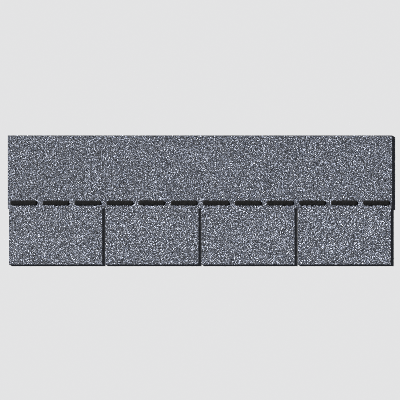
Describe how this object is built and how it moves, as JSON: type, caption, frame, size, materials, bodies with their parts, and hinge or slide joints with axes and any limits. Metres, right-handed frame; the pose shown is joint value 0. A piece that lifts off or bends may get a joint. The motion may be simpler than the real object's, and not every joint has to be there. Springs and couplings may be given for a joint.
{
  "type": "asphalt strip shingle",
  "caption": "Flat granule-faced roofing strip with square tabs between narrow slots, a row of black self-seal dashes above the slot heads and a release film on its back.",
  "frame": {"origin": "centre of the back of the sheet, half way along the strip and half way up it", "axes": "+X along the strip, +Y up the slope from the butt edge of the tabs to the top edge, +Z out of the weather face"},
  "size_m": [1, 0.336, 0.0038],
  "materials": {
    "granule_sheet": "matte",
    "seal_bitumen": "gloss",
    "release_film": "gloss"
  },
  "bodies": {
    "root": {"shingle_sheet": "granule_sheet", "seal_dashes": "seal_bitumen", "release_film": "release_film"}
  },
  "joints": []
}
